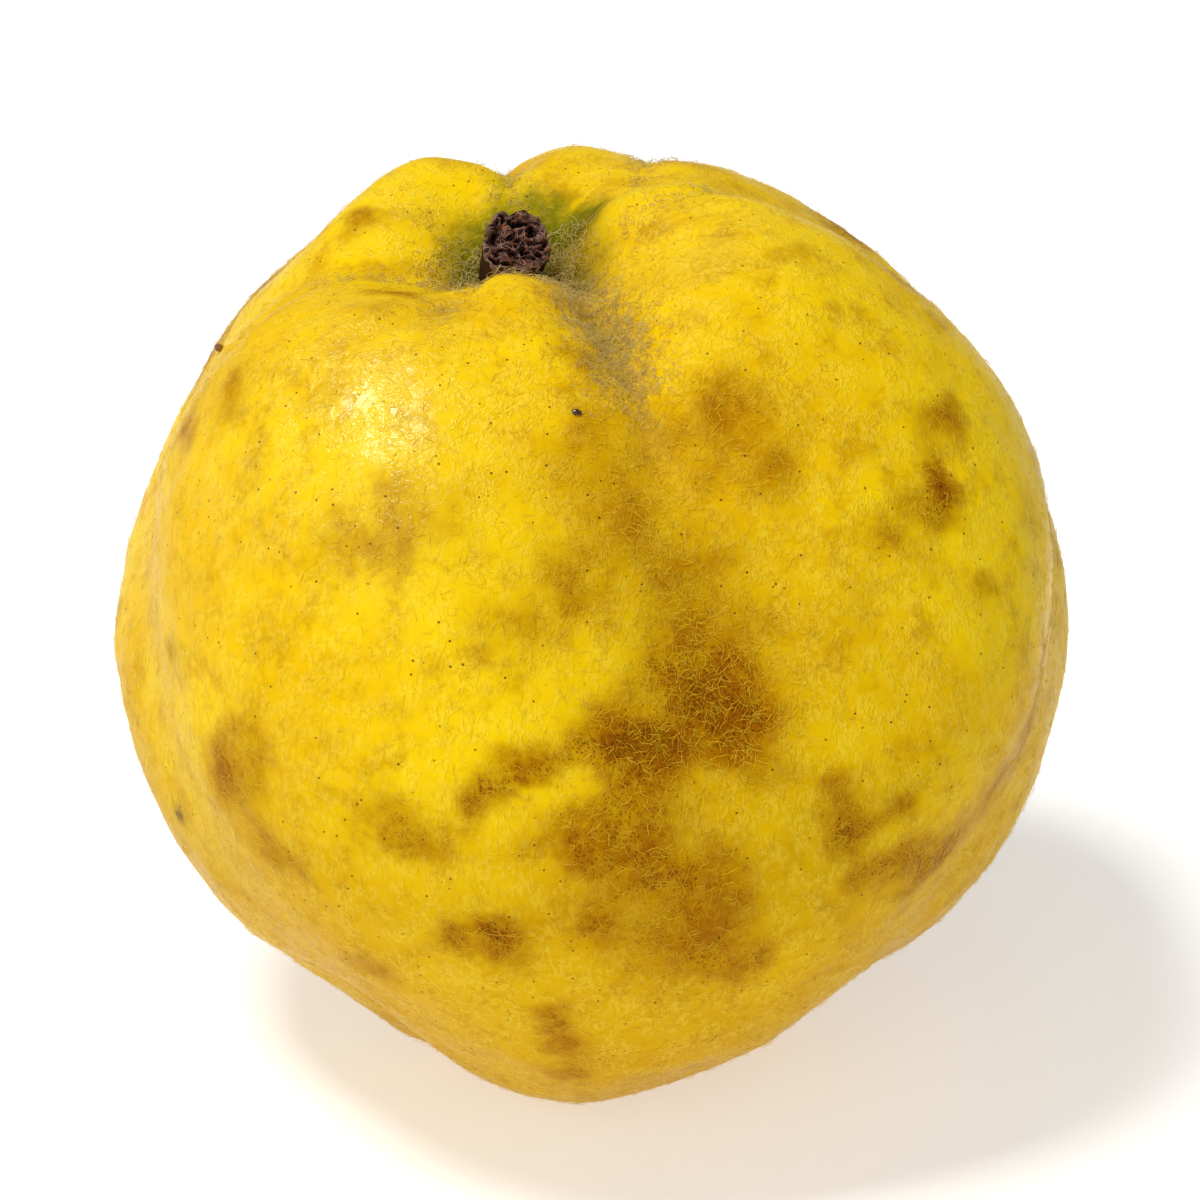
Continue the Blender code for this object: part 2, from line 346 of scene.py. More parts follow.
def nearness(directions, radii, route, width):
    """How near each point of the skin is to a route: 1 on it, falling off within a width."""
    corners = [direction(*stop) for stop in route]
    nearest = np.full(len(directions), 9.0)
    for start, end in zip(corners, corners[1:]):
        span = end - start
        along = np.clip((directions - start) @ span / (span @ span), 0, 1)
        nearest = np.minimum(nearest, np.linalg.norm(directions - start - along[:, None] * span, axis=1))
    return np.exp(-(nearest * radii / width) ** 2)


print("creases:", len(CREASES))

# %% Carve the creases
places, rays, radii, outward = rays_of(skin)
crease_depth = np.zeros(len(places))
for crease in CREASES:
    crease_depth += crease.depth * nearness(outward, radii, crease.route, crease.width)
places = np.array(CORE) + outward * (radii - crease_depth)[:, None]
places[:, 2] = np.maximum(places[:, 2], 0)
write_points(skin, places)
print("deepest crease in mm:", round(crease_depth.max() / MM, 2))

# %% [markdown]
# ## The skin's marks
#
# A ripe quince carries brown russet patches, green skin in the shade of the stalk, and grey
# down that stays longest in hollows. Where the down is rubbed off, the skin is glossy. Painted
# shade darkens the skin in the stalk pit and turns it ochre towards the bottom. Each of these is
# painted on the vertices as one number, worked out from named places, and the material adds
# the fine grain. On the far side, patches of the same sizes are scattered with a fixed seed.
# Soft noise shifts every place a little, so no mark is a plain round spot.

# %% Russet patches
class Patch(NamedTuple):
    """A brown patch: where it is, how wide and how strong."""
    azimuth: float
    elevation: float
    size: float
    strength: float


# Each mark is an azimuth and an elevation in degrees, a size in mm and a strength.
BROW = (
    (-102, 6, 1.9, 0.9), (-99, 9, 1.8, 0.9), (-96, 11, 1.6, 0.7), (-93, 13, 1.7, 0.7),
    (-89, 12, 2.2, 0.9), (-86, 10, 2.6, 1.0), (-83, 8, 2.0, 0.9), (-86, 4, 2.3, 0.6),
)
CHEEK = (
    (-90, -2, 3.2, 0.8), (-84, -2, 3.6, 0.65), (-78, -5, 2.8, 0.7), (-90, -9, 2.0, 0.7),
    (-83, -12, 3.4, 0.6), (-78, -17, 3.0, 0.8), (-71, -19, 2.8, 0.6), (-74, -10, 2.6, 0.5),
)
BAND = (
    (-95, 57, 1.8, 0.6), (-90, 47, 3.4, 0.35), (-85, 40, 3.2, 0.4), (-82, 34, 3.0, 0.45),
    (-78, 26, 3.2, 0.45), (-77, 19, 3.2, 0.5), (-76, 14, 3.8, 0.85), (-72, 11, 3.6, 0.85),
    (-79, 15, 2.6, 0.6),
)
LEFT_MARKS = (
    (-102, -11, 2.6, 1.0), (-112, 1, 2.4, 0.55), (-107, 0, 3.0, 0.35), (-94, 28, 3.2, 0.65),
    (-101, 22, 3.6, 0.3), (-134, -1, 3.8, 0.7), (-130, 4, 2.6, 0.5), (-147, 11, 2.0, 0.5),
    (-161, 32, 2.6, 0.7), (-152, 40, 2.6, 0.5), (-128, -9, 2.6, 0.5), (-119, -22, 2.4, 0.6),
    (-116, 35, 4.2, 0.35), (-122, 30, 3.0, 0.3), (-110, 33, 3.0, 0.3), (-95, -25, 2.2, 0.6),
    (-96, -30, 2.6, 0.5), (-93, -39, 3.0, 0.6), (-124, 62, 2.2, 0.3),
)
RIGHT_MARKS = (
    (-65, 49, 3.2, 0.5), (-71, 47, 3.0, 0.4), (-63, 38, 3.0, 0.4), (-58, 42, 2.6, 0.3),
    (-69, 27, 2.4, 0.4), (-61, -2, 2.2, 0.9), (-57, -2, 1.9, 0.9), (-60, 2, 1.8, 0.5),
    (-57, -11, 2.6, 0.6), (-51, -11, 2.8, 0.7), (-44, -11, 2.6, 0.7), (-47, -8, 2.4, 0.6),
    (-36, -6, 2.8, 0.5), (-28, -2, 3.6, 0.6), (-24, 6, 3.0, 0.4), (-31, 37, 1.9, 0.7),
    (-35, 39, 1.9, 0.5), (-39, 33, 1.8, 1.0), (-40, 30, 1.8, 0.8), (-46, 32, 2.0, 0.6),
    (-48, 28, 2.0, 0.5), (-38, 20, 1.6, 0.6), (-43, 24, 1.6, 0.4), (-66, 5, 2.2, 0.3),
    (-58, 20, 5.0, 0.2),
)
TOP_MARKS = (
    (166, 60, 2.4, 0.6), (-149, 62, 2.0, 0.6), (10, 52, 4.0, 0.6), (-4, 50, 3.0, 0.5),
    (24, 54, 3.0, 0.5),
)
FAR_PATCHES = 70
PATCH_SEED = 11
PATCH_SPREAD = 1.25

patches = [Patch(*mark) for mark in (*BROW, *CHEEK, *BAND, *LEFT_MARKS, *RIGHT_MARKS, *TOP_MARKS)]
scatter = np.random.default_rng(PATCH_SEED)
for _ in range(FAR_PATCHES):
    patches.append(Patch(
        azimuth=scatter.uniform(8, 172), elevation=math.degrees(math.asin(scatter.uniform(-0.95, 0.75))),
        size=scatter.uniform(1.4, 4.5), strength=scatter.uniform(0.2, 0.95)))


def drift(points, size, reach):
    """Vectors of soft noise, up to reach long, that wander over the given size."""
    return np.array([noise.noise_vector(Vector(point) / size) for point in points]) * reach


places, rays, radii, outward = rays_of(skin)
wandering = rays + drift(places, 7 * MM, 3.0 * MM) + drift(places, 2.4 * MM, 1.4 * MM)
clear_skin = np.ones(len(places))
for patch in patches:
    middle = direction(patch.azimuth, patch.elevation)
    apart = np.linalg.norm(wandering - middle * radii[:, None], axis=1)
    clear_skin *= 1 - min(patch.strength, 0.97) * np.exp(-(apart / (PATCH_SPREAD * patch.size * MM)) ** 2)
russet = 1 - clear_skin
paint(skin, "russet", russet)
print("russet patches:", len(patches))

# %% Hollows, green, painted shade, ochre, gloss and bruise
HOLLOW_ROUNDS = 60
HOLLOW_DEPTH = 0.9 * MM
GREEN_SPOTS = (
    (154, 74, 3.4, 1.0), (166, 73, 3.4, 1.0), (142, 74, 2.4, 1.0), (124, 70, 2.0, 0.6),
    (178, 74, 2.4, 0.7), (127, 79, 2.6, 1.0), (118, 83, 2.6, 1.0), (92, 85, 2.2, 0.8),
    (125, 75, 2.0, 0.8),
)
# Painted shade: dark spots round the stalk, where the stub and the pit shade the skin.
PAINTED_PIT_SHADE_SPOTS = (
    (165, 79, 3.8, 0.95), (-150, 82, 3.2, 0.95), (-115, 84, 2.8, 0.9), (-105, 80, 2.0, 0.8),
    (120, 87, 2.4, 0.7), (-150, 76, 2.2, 0.7),
)
# Ochre patches in the skin's own tone; the low ones also serve as painted shade.
OCHRE_AND_SHADE_SPOTS = (
    (-82, 30, 9, 0.7), (-74, 8, 9, 0.6), (-84, -14, 10, 0.6), (-55, -20, 14, 0.9),
    (-35, -8, 12, 0.7), (-75, -42, 14, 0.8), (-92, -32, 12, 0.8), (-65, -8, 9, 0.8),
    (-130, -24, 12, 0.5), (-62, 20, 8, 0.5), (-88, 44, 6, 0.5),
)
GLOSS_SPOTS = (
    (-127, 42, 9, 0.9), (-138, 35, 8, 0.8), (-119, 35, 7, 0.7), (-138, 49, 6, 0.7),
    (-49, 68, 5, 0.8), (-41, 78, 3.5, 0.7), (158, 65, 3.5, 0.6), (-127, 56, 4, 0.5),
)
BRUISE = (-153, -14, 0.9 * MM)

edges = np.array([edge.vertices[:] for edge in skin.data.edges])
neighbours = np.bincount(edges.ravel(), minlength=len(places))
smoothed = radii.copy()
for _ in range(HOLLOW_ROUNDS):
    total = np.bincount(edges[:, 0], smoothed[edges[:, 1]], len(places))
    total += np.bincount(edges[:, 1], smoothed[edges[:, 0]], len(places))
    smoothed = total / neighbours
high = ease(outward[:, 2], 0.55, 0.85)
hollow = np.clip((smoothed - radii) / HOLLOW_DEPTH, 0, 1) * high


def soft_spots(spots, around):
    """A number from 0 to 1 that is high near any of the spots, whose sizes are in mm."""
    clear = np.ones(len(outward))
    for azimuth, elevation, size, strength in spots:
        apart = np.linalg.norm(around - direction(azimuth, elevation) * radii[:, None], axis=1)
        clear *= 1 - min(strength, 0.98) * np.exp(-(apart / (size * MM)) ** 2)
    return 1 - clear


near_rays = rays + drift(places, 2.4 * MM, 0.9 * MM)
stub_low, stub_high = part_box("stem_stub")
stub_middle = np.array((stub_low + stub_high) / 2)
from_stub = np.linalg.norm((places - stub_middle)[:, :2], axis=1)
pit = ease(from_stub, 12 * MM, 3 * MM) * ease(places[:, 2], 60 * MM, 72 * MM)
bruise_at = direction(*BRUISE[:2]) * radii[:, None]
bruise = np.exp(-(np.linalg.norm(rays - bruise_at, axis=1) / BRUISE[2]) ** 2)
paint(skin, "hollow", hollow)
paint(skin, "green", soft_spots(GREEN_SPOTS, near_rays))
paint(skin, "painted_pit_shade", soft_spots(PAINTED_PIT_SHADE_SPOTS, near_rays))
# Painted shade: the skin turns ochre towards the bottom, added to the ochre patches.
low_shade = ease(outward[:, 2], 0.25, -0.60)
paint(skin, "ochre", np.maximum(soft_spots(OCHRE_AND_SHADE_SPOTS, wandering), low_shade))
paint(skin, "bruise", bruise)
paint(skin, "gloss", soft_spots(GLOSS_SPOTS, wandering))
print("hollow share of the skin:", round(float((hollow > 0.3).mean()), 3))

# %% [markdown]
# ## The skin's finish
#
# The colour starts as clear yellow that drifts towards ochre over a few centimetres. Pale veins
# are the contour lines of a slanted noise. A patch of russet has a soft ochre edge, a cloudy
# brown middle and small dark dots. Green sits round the stalk, and the dark lenticels, the
# pores of the skin, are cells of a Voronoi pattern, most of them left out at random. Painted
# shade turns the skin ochre towards the bottom and dark in the stalk pit. The veins and the
# grain are also a fine bump, which breaks up the highlights. The skin itself mirrors very
# little, and a thin coat gives the rubbed places their gloss.

# %% Skin material
LEMON = (0.90, 0.61, 0.003)
GOLD = (0.79, 0.475, 0.002)
OCHRE = (0.46, 0.22, 0.001)
RUSSET = (0.29, 0.074, 0.001)
DARK_RUSSET = (0.105, 0.024, 0.002)
LEAF_GREEN = (0.10, 0.13, 0.003)
GREY_TAN = (0.40, 0.23, 0.03)
PAINTED_PIT_SHADE = (0.035, 0.030, 0.004)
PALE_VEIN = (0.95, 0.74, 0.08)
PORE = (0.07, 0.024, 0.002)
BROAD_SIZE = 22 * MM
MOTTLE_SIZE = 4.5 * MM
GRAIN_SIZE = 0.9 * MM
FINE_SIZE = 0.28 * MM
VEIN_SIZE, VEIN_SLANT = 0.62 * MM, math.radians(-32)
DOT_SIZE = 0.33 * MM
PORE_SIZE = 1.15 * MM
FINE_DEPTH = 0.12 * MM
SOFT_SIZE, SOFT_DEPTH = 2.6 * MM, 0.35 * MM


def make_skin_material():
    r = Recipe("quince_skin")
    broad = r.noise(BROAD_SIZE, 2.0)
    mottle = r.noise(MOTTLE_SIZE, 4.0, 0.6)
    grain = r.noise(GRAIN_SIZE, 3.0, 0.65)
    fine = r.noise(FINE_SIZE, 2.0, 0.6)
    colour = r.blend(r.step(broad + 0.5 * mottle, 0.60, 0.92), LEMON, GOLD)
    colour = r.blend(0.50 * r.step(mottle + 0.35 * grain, 0.66, 0.92), colour, OCHRE)
    # The ochre mark is partly the skin's own ochre patches and partly painted shade towards the bottom.
    colour = r.blend(0.64 * r.mark("ochre"), colour, OCHRE)

    slanted = r.node("ShaderNodeMapping", None, {
        "Vector": r.place, "Rotation": (0, VEIN_SLANT, 0), "Scale": (1, 1, 0.45)})
    contour = r.noise(VEIN_SIZE, 2.0, 0.5, 0.6, place=slanted) - 0.5
    veins = r.step(contour.maths("ABSOLUTE", contour), 0.135, 0.0)
    veins = veins * r.step(r.noise(2.2 * MM, 2.0), 0.34, 0.58)
    colour = r.blend(0.24 * veins, colour, PALE_VEIN)

    russet = r.mark("russet")
    cloudy = russet * r.step(mottle + 0.5 * grain, 0.52, 0.98)
    colour = r.blend(0.55 * r.step(russet + 0.35 * (mottle - 0.5), 0.0, 0.55), colour, OCHRE)
    tint = r.step(0.55 * russet + 0.75 * cloudy, 0.10, 1.02)
    colour = r.blend(0.84 * tint, colour, RUSSET)
    dots = r.step(r.cells(DOT_SIZE) - 0.46 * r.step(russet + 0.6 * (grain - 0.5), 0.12, 1.0), 0.03, -0.10)
    colour = r.blend(0.55 * dots, colour, DARK_RUSSET)
    colour = r.blend(0.45 * r.step(russet + 0.4 * (grain - 0.5), 0.75, 1.10), colour, DARK_RUSSET)

    green = r.step(r.mark("green") + 0.6 * (mottle - 0.5) + 0.5 * (grain - 0.5), 0.10, 1.10)
    colour = r.blend(0.90 * green, colour, LEAF_GREEN)
    down = r.step(r.mark("hollow") + 0.6 * (grain - 0.5), 0.30, 1.0)
    colour = r.blend(0.55 * down, colour, GREY_TAN)
    colour = r.blend(r.mark("bruise"), colour, PORE)
    # Painted shade darkens the skin in the stalk pit.
    colour = r.blend(0.88 * r.mark("painted_pit_shade"), colour, PAINTED_PIT_SHADE)

    picked = r.node("ShaderNodeSeparateColor", None, {"Color": r.cells(PORE_SIZE, "Color")}, "Red")
    pores = r.step(picked, 0.30, 0.70) * r.step(r.cells(PORE_SIZE), 0.125, 0.065)
    colour = r.blend(0.85 * pores, colour, PORE)

    height = 0.60 * veins + 0.28 * grain + 0.12 * fine - 0.5 * pores
    fine_bump = r.bump(height, FINE_DEPTH, 0.75)
    soft_bump = r.bump(r.noise(SOFT_SIZE, 2.0), SOFT_DEPTH, 0.30, fine_bump)
    rough = 0.22 + 0.12 * grain + 0.30 * down + 0.20 * tint
    return r.finish(
        Base_Color=colour, Roughness=rough, Normal=soft_bump,
        Specular_IOR_Level=0.02, Specular_Tint=(1, 0.9, 0.5),
        Coat_Weight=0.6 * r.mark("gloss"), Coat_Roughness=0.24, Coat_Normal=fine_bump)


skin.data.materials.append(make_skin_material())
skin.data.shade_smooth()
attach(skin, "root")
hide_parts("fruit")
print("skin finish has", len(skin.data.materials[0].node_tree.nodes), "nodes")

# %% [markdown]
# ## Down
#
# A quince is covered with short kinked hairs, sparse and pale where it has been rubbed and
# matted into grey wool in the stalk pit and the creases. Each hair is one spline of a curve
# object, swept along a tiny triangle so that it has only a few faces, and tapered by the
# radius of its points. The curve is then made a mesh. Roots are drawn from the skin's faces
# at random, with a fixed seed, and with odds that follow the painted hollows and patches.

# %% Hair tools
def make_hair_profile():
    """The triangle that every hair is swept along."""
    outline = bpy.data.curves.new("hair_profile", "CURVE")
    outline.dimensions = "2D"
    spline = outline.splines.new("POLY")
    spline.points.add(2)
    for number, point in enumerate(spline.points):
        turn = math.radians(90 + 120 * number)
        point.co = (math.cos(turn), math.sin(turn), 0, 1)
    spline.use_cyclic_u = True
    profile = bpy.data.objects.new("hair_profile", outline)
    bpy.context.scene.collection.objects.link(profile)
    return profile


def sweep(name, paths, widths, profile):
    """One mesh of tapered hairs; paths holds rows of points, widths a radius for each point."""
    line = bpy.data.curves.new(name, "CURVE")
    line.dimensions = "3D"
    line.bevel_mode = "OBJECT"
    line.bevel_object = profile
    line.use_fill_caps = True
    for path, width in zip(paths, widths):
        spline = line.splines.new("POLY")
        spline.points.add(len(path) - 1)
        spline.points.foreach_set("co", np.column_stack((path, np.ones(len(path)))).ravel())
        spline.points.foreach_set("radius", width)
    piece = bpy.data.objects.new(name, line)
    bpy.context.scene.collection.objects.link(piece)
    work_on(piece)
    bpy.ops.object.convert(target="MESH")
    piece = bpy.context.object
    bpy.ops.object.mode_set(mode="EDIT")
    bpy.ops.mesh.select_all(action="SELECT")
    bpy.ops.mesh.remove_doubles(threshold=0.000001)
    bpy.ops.object.mode_set(mode="OBJECT")
    piece.data.shade_smooth()
    return piece


def face_values(piece, kind, width=1):
    """One value, or one row, for each face of a mesh."""
    values = np.empty(len(piece.data.polygons) * width)
    piece.data.polygons.foreach_get(kind, values)
    return values.reshape(-1, width) if width > 1 else values


def draw_roots(draw, count, odds):
    """Random roots on the skin's faces, with the face's outward direction and two along it."""
    centres, normals = face_values(skin, "center", 3), face_values(skin, "normal", 3)
    areas = face_values(skin, "area")
    chance = areas * odds
    chosen = draw.choice(len(areas), count, p=chance / chance.sum())
    out = normals[chosen]
    random_way = draw.normal(size=(count, 3))
    along = random_way - (random_way * out).sum(axis=1, keepdims=True) * out
    along /= np.linalg.norm(along, axis=1, keepdims=True)
    across = np.cross(out, along)
    side = np.sqrt(areas[chosen])[:, None]
    jitter = draw.uniform(-0.5, 0.5, (2, count, 1)) * side
    roots = centres[chosen] + along * jitter[0] + across * jitter[1]
    return roots, out, along, across


def kinked_paths(draw, roots, out, along, across, stops, length, lift, kink):
    """Hairs that lie along the skin, lifting a little in the middle and kinking sideways."""
    count = len(roots)
    share = np.linspace(0, 1, stops)[None, :, None]
    reach = draw.uniform(*length, (count, 1, 1))
    bow = draw.uniform(-1, 1, (count, 1, 1)) * kink * reach
    wave = draw.uniform(0, 2 * math.pi, (count, 1, 1))
    turns = draw.uniform(0.4, 1.1, (count, 1, 1))
    sideways = bow * np.sin(2 * math.pi * turns * share + wave) * share
    height = draw.uniform(*lift, (count, 1, 1)) * np.sin(0.85 * math.pi * share) - 0.03 * MM
    return (roots[:, None] + along[:, None] * reach * share + across[:, None] * sideways
            + out[:, None] * height)


def curly_paths(draw, roots, out, along, across, stops, length, curl):
    """Hairs that stand up and wind into loose loops."""
    count = len(roots)
    share = np.linspace(0, 1, stops)[None, :, None]
    reach = draw.uniform(*length, (count, 1, 1))
    radius = draw.uniform(*curl, (count, 1, 1))
    turns = draw.uniform(0.5, 1.5, (count, 1, 1)) * draw.choice((-1, 1), (count, 1, 1))
    start = draw.uniform(0, 2 * math.pi, (count, 1, 1))
    angle = start + 2 * math.pi * turns * share
    rise = reach * (0.35 * share + 0.15 * np.sin(2.2 * math.pi * share + start))
    spin_along = radius * (np.cos(angle) - np.cos(start))
    spin_across = radius * (np.sin(angle) - np.sin(start))
    travel = draw.uniform(0.1, 0.6, (count, 1, 1)) * reach * share
    return (roots[:, None] + out[:, None] * (rise - 0.05 * MM)
            + along[:, None] * (spin_along + travel) + across[:, None] * spin_across)


def tapered(draw, count, stops, thickness):
    """A radius for each point of each hair, thin at the root and pointed at the tip."""
    share = np.linspace(0, 1, stops)
    shape = (0.75 + 0.25 * share) * (1 - share ** 3 * 0.85)
    return draw.uniform(*thickness, (count, 1)) / 2 * shape


hair_profile = make_hair_profile()
print("hairs have", len(hair_profile.data.splines[0].points), "sides")

# %% Short down all over
SHORT_STOPS = 4
SHORT_COUNT = 7000
SHORT_LENGTH = (0.7 * MM, 1.9 * MM)
SHORT_LIFT = (0.06 * MM, 0.28 * MM)
SHORT_THICKNESS = (0.030 * MM, 0.055 * MM)
SHORT_KINK = 0.35
SHORT_SETS = 3
SHORT_SEED = 101
BAND_ROUTE = ((-88, 62), (-80, 50), (-76, 36), (-74, 22), (-75, 10))

first_corner = face_values(skin, "loop_start").astype(int)
corner_vertices = np.empty(len(skin.data.loops), int)
skin.data.loops.foreach_get("vertex_index", corner_vertices)
face_vertex = corner_vertices[first_corner]
face_z = face_values(skin, "center", 3)[:, 2]
band = nearness(outward, radii, BAND_ROUTE, 8 * MM)
odds = (0.5 + 1.3 * russet + 2.0 * hollow + 2.2 * band)[face_vertex] * (face_z > 1.0 * MM)
odds *= 1 - 0.75 * pit[face_vertex]

down_pieces = []
for number in range(SHORT_SETS):
    draw = np.random.default_rng(SHORT_SEED + number)
    roots, out, along, across = draw_roots(draw, SHORT_COUNT, odds)
    paths = kinked_paths(
        draw, roots, out, along, across, SHORT_STOPS, SHORT_LENGTH, SHORT_LIFT, SHORT_KINK)
    widths = tapered(draw, SHORT_COUNT, SHORT_STOPS, SHORT_THICKNESS)
    down_pieces.append(sweep(f"short_down_{number + 1}", paths, widths, hair_profile))
    print(down_pieces[-1].name, triangles_of(down_pieces[-1]), "triangles")

# %% Wool in the pit and the creases
WOOL_STOPS = 12
PIT_COUNT = 850
PIT_LENGTH = (1.2 * MM, 3.2 * MM)
PIT_CURL = (0.30 * MM, 0.95 * MM)
PIT_THICKNESS = (0.05 * MM, 0.10 * MM)
CREASE_COUNT = 2400
CREASE_LENGTH = (0.6 * MM, 1.5 * MM)
CREASE_CURL = (0.15 * MM, 0.45 * MM)
CREASE_THICKNESS = (0.04 * MM, 0.07 * MM)
WOOL_SEED = 7

draw = np.random.default_rng(WOOL_SEED)
near_stub = (ease(from_stub, 9 * MM, 4 * MM) * pit)[face_vertex]
roots, out, along, across = draw_roots(draw, PIT_COUNT, near_stub)
paths = curly_paths(draw, roots, out, along, across, WOOL_STOPS, PIT_LENGTH, PIT_CURL)
widths = tapered(draw, PIT_COUNT, WOOL_STOPS, PIT_THICKNESS)
pit_wool = sweep("pit_wool", paths, widths, hair_profile)

fold = nearness(outward, radii, CREASES[0].route[:4], 2.8 * MM)
for crease in CREASES[1:]:
    fold = np.maximum(fold, 0.22 * nearness(outward, radii, crease.route[:3], 1.5 * MM))
roots, out, along, across = draw_roots(draw, CREASE_COUNT, fold[face_vertex])
paths = curly_paths(draw, roots, out, along, across, WOOL_STOPS, CREASE_LENGTH, CREASE_CURL)
widths = tapered(draw, CREASE_COUNT, WOOL_STOPS, CREASE_THICKNESS)
crease_wool = sweep("crease_wool", paths, widths, hair_profile)
print("wool:", triangles_of(pit_wool), triangles_of(crease_wool), "triangles")

# %% Down finish
def make_down_material(name, pale, dull):
    r = Recipe(name)
    colour = r.blend(r.noise(2.5 * MM, 2.0), pale, dull)
    return r.finish(Base_Color=colour, Roughness=0.55 + 0.2 * r.noise(0.5 * MM), Specular_IOR_Level=0.06)


pale_down = make_down_material("pale_down", (0.90, 0.66, 0.04), (0.74, 0.46, 0.01))
grey_wool = make_down_material("grey_wool", (0.78, 0.64, 0.24), (0.50, 0.36, 0.08))
for piece in down_pieces:
    piece.data.materials.append(pale_down)
for piece in (pit_wool, crease_wool):
    piece.data.materials.append(grey_wool)
for piece in (*down_pieces, pit_wool, crease_wool):
    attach(piece, "root")
print("pieces of down:", len(down_pieces) + 2)

# %% [markdown]
# ## The torn stub
#
# The stalk broke off in the pit. What is left is a short stub of wood in its bark, thickest at
# the break, with a torn end full of holes and loose fibres. A disc is extruded into a blank,
# and its end is inset into many rings, so that there are enough faces to sink the holes into.
# The lobed outline, the holes and the ridges are then worked out for each point, and last the
# straight blank is bent along the stub's middle line.

# %% Stub blank
STUB_SIDES = 96
STUB_RADIUS = 3.2 * MM
# Each step of the stub is a length in mm and how much wider the next ring is.
STUB_STEPS = (
    (0.8, 1.55), (0.9, 1.25), (1.0, 1.06), (1.1, 1.04), (1.1, 1.04), (1.1, 1.03), (1.0, 1.03),
    (0.9, 1.02), (0.7, 1.0), (0.4, 0.99),
)
END_RINGS = 26

bpy.ops.object.select_all(action="DESELECT")
growth = math.prod(scale for _, scale in STUB_STEPS)
bpy.ops.mesh.primitive_circle_add(vertices=STUB_SIDES, radius=STUB_RADIUS / growth, fill_type="NGON")
stub = bpy.context.object
stub.name = "torn_stub"
bpy.ops.object.mode_set(mode="EDIT")
bpy.ops.mesh.select_all(action="SELECT")
for length, scale in STUB_STEPS:
    bpy.ops.mesh.extrude_region_move(TRANSFORM_OT_translate={"value": (0, 0, length * MM)})
    bpy.ops.transform.resize(value=(scale, scale, 1))
for _ in range(END_RINGS):
    bpy.ops.mesh.inset(thickness=STUB_RADIUS / (END_RINGS + 1.5))
bpy.ops.mesh.poke()
bpy.ops.mesh.select_all(action="SELECT")
bpy.ops.mesh.normals_make_consistent(inside=False)
bpy.ops.object.mode_set(mode="OBJECT")
subdivide_smoothly(stub, 1)
print("stub blank:", triangles_of(stub), "triangles")

# %% Tear the end
class Hole(NamedTuple):
    """A hole in the torn end: its middle, half its width and height, and its depth, all in mm."""
    x: float
    y: float
    wide: float
    high: float
    deep: float


HOLES = (
    Hole(0.1, 1.75, 0.85, 0.24, 1.6), Hole(1.35, 1.15, 0.46, 0.34, 1.7), Hole(-1.3, 2.4, 0.30, 0.36, 1.1),
    Hole(-2.1, 0.15, 0.46, 0.40, 1.6), Hole(-2.0, 1.25, 0.36, 0.20, 1.0), Hole(-0.9, 0.5, 0.50, 0.26, 1.2),
    Hole(2.5, -0.15, 0.20, 0.40, 1.2), Hole(0.65, -0.65, 0.24, 0.20, 1.2), Hole(-0.3, -1.1, 0.42, 0.15, 1.1),
    Hole(2.0, -1.0, 0.22, 0.20, 1.0), Hole(-0.8, -2.1, 0.60, 0.14, 1.0),
)
HOLE_DRIFT = 0.55
CAVITY_DEPTH = 0.8 * MM
NOTCH_TURN, NOTCH_WIDTH, NOTCH_DEPTH = math.radians(101), 0.13, 0.20
CROWN_HEIGHT = 0.42 * MM
RIDGE_HEIGHT = 0.42 * MM
# The stub's middle line, in mm from the core.
STUB_LINE = ((-8.3, 1.6, 32.3), (-8.1, 1.4, 34.0), (-7.9, 1.0, 35.5), (-7.6, 0.2, 37.1), (-7.3, -1.1, 38.5),
             (-7.1, -2.7, 39.5))

places_stub = read_points(stub)
flat, upright = places_stub[:, :2], places_stub[:, 2]
turn = np.arctan2(flat[:, 1], flat[:, 0])
distance = np.linalg.norm(flat, axis=1)
share = distance / STUB_RADIUS
on_end = ease(upright, upright.max() - 0.5 * MM, upright.max() - 0.1 * MM)
lobes = 1 + 0.05 * np.cos(2 * turn - 2.7) + 0.045 * np.cos(3 * turn + 0.6) + 0.03 * np.cos(5 * turn + 2)
lobes += 0.018 * np.cos(9 * turn + 1) + 0.014 * np.cos(14 * turn)
notch = np.exp(-(np.angle(np.exp(1j * (turn - NOTCH_TURN))) / NOTCH_WIDTH) ** 2)
lobes -= NOTCH_DEPTH * notch * ease(share, 0.5, 1.0)
spread = 1 + (lobes - 1) * ease(upright, 2 * MM, 7 * MM)

grooves = np.array([
    noise.turbulence(Vector((math.cos(t) * 4.5, math.sin(t) * 4.5, z / (4 * MM))), 3, True)
    for t, z in zip(turn, upright)])
bark = (grooves - grooves.mean()) * 0.30 * MM * ease(share, 0.5, 0.9)
outline = flat * (spread + bark / np.maximum(distance, 0.1 * MM))[:, None]

ridges = np.array([
    noise.turbulence(Vector((x / (0.95 * MM), y / (0.55 * MM), 3.0)), 4, True) for x, y in outline])
ridges = np.clip(1 - ridges / np.percentile(ridges, 95), 0, 1)
drifted = outline / MM + HOLE_DRIFT * np.array([
    noise.noise_vector(Vector((x / (0.8 * MM), y / (0.8 * MM), 7.0)))[:2] for x, y in outline])
cavities = np.array([noise.noise(Vector((x * 1.1, y * 1.9, 11.0))) for x, y in drifted])
sunk = CAVITY_DEPTH * ease(cavities, 0.15, 0.50)
for hole in HOLES:
    across = (drifted[:, 0] - hole.x) / hole.wide
    along = (drifted[:, 1] - hole.y) / hole.high
    sunk = np.maximum(sunk, hole.deep * MM * np.exp(-(across ** 2 + along ** 2) ** 1.5))
crown = CROWN_HEIGHT * ease(share, 0.72, 0.97) * (0.6 + 0.5 * np.cos(4 * turn + 1) * np.cos(7 * turn))
slope = -0.10 * outline[:, 1] - 0.06 * outline[:, 0]
relief = RIDGE_HEIGHT * ridges * ease(share, 1.0, 0.85) + crown + slope - sunk - 0.25 * MM
